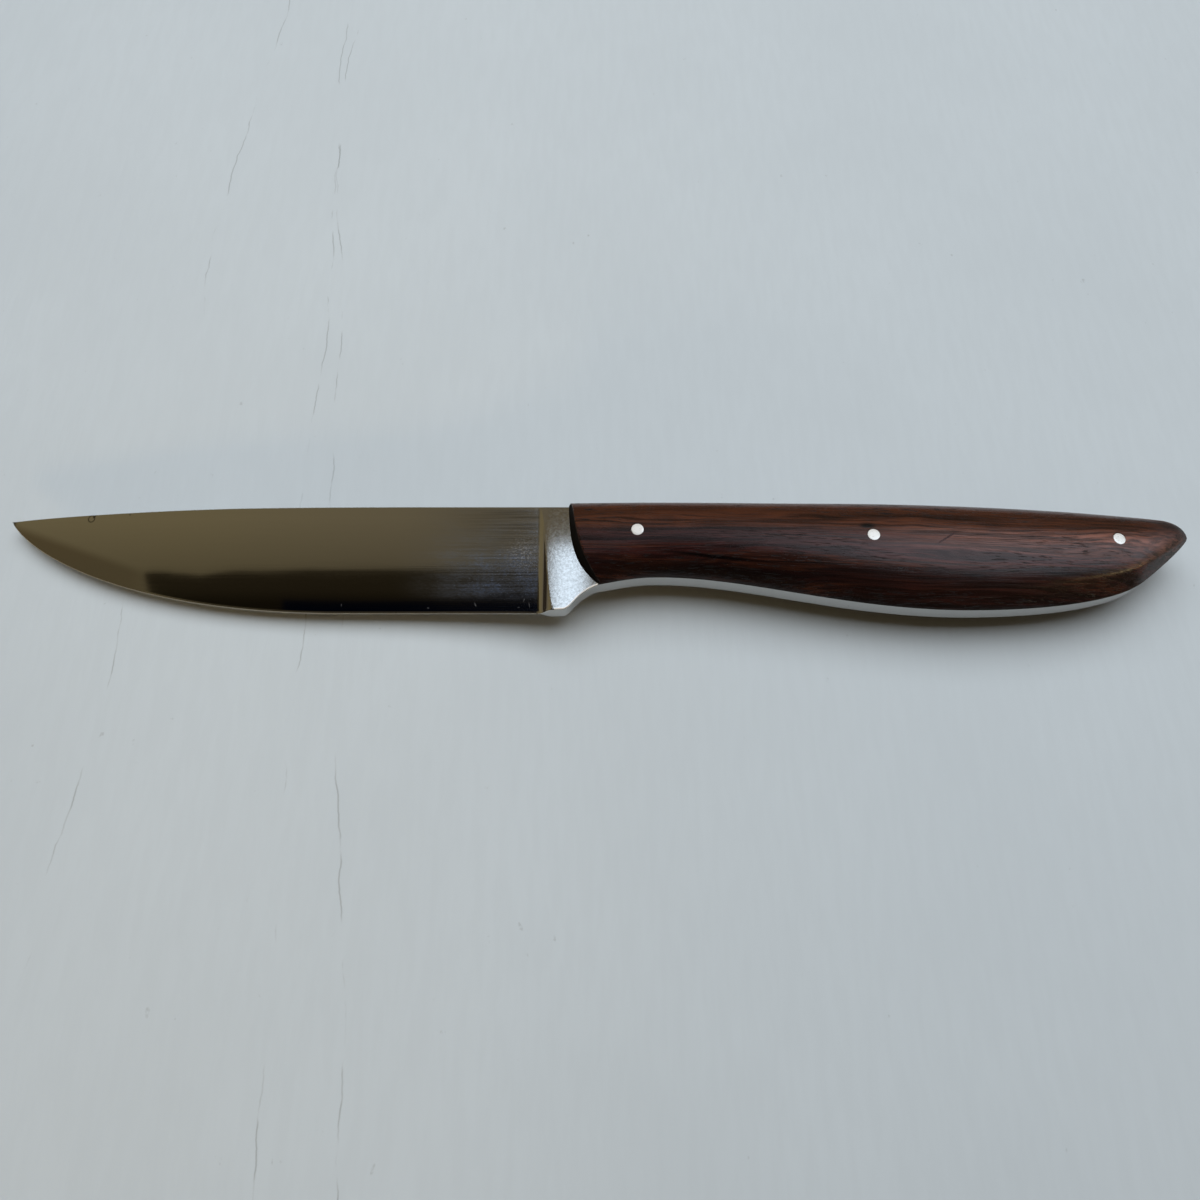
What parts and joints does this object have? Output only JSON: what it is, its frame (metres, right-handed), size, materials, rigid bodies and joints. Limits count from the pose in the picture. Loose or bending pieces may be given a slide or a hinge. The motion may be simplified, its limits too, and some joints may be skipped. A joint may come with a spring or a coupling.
{
  "type": "steak knife",
  "caption": "Full-tang steak knife lying on its side: flat-ground blade with plunge, ricasso and choil, domed wooden scales with a slanting butt, and flush pins.",
  "frame": {"origin": "centre of the knife's footprint, at the height of the surface that it lies on", "axes": "+X from the blade's tip to the handle's butt, +Y from the cutting edge to the spine, +Z through the thickness, up from the surface"},
  "size_m": [0.24, 0.0232, 0.015],
  "materials": {
    "steel": "ground lengthwise and polished until it mirrors its surroundings, with fine lengthwise streaks",
    "wood": "dense dark red-brown wood, sanded fine and polished to a soft gloss, grain along the handle",
    "pin": "bright, sanded flush with the wood and polished"
  },
  "bodies": {
    "root": {"blade_and_tang": "steel", "left_scale": "wood", "right_scale": "wood", "front_pin": "pin", "middle_pin": "pin", "rear_pin": "pin"}
  },
  "joints": []
}
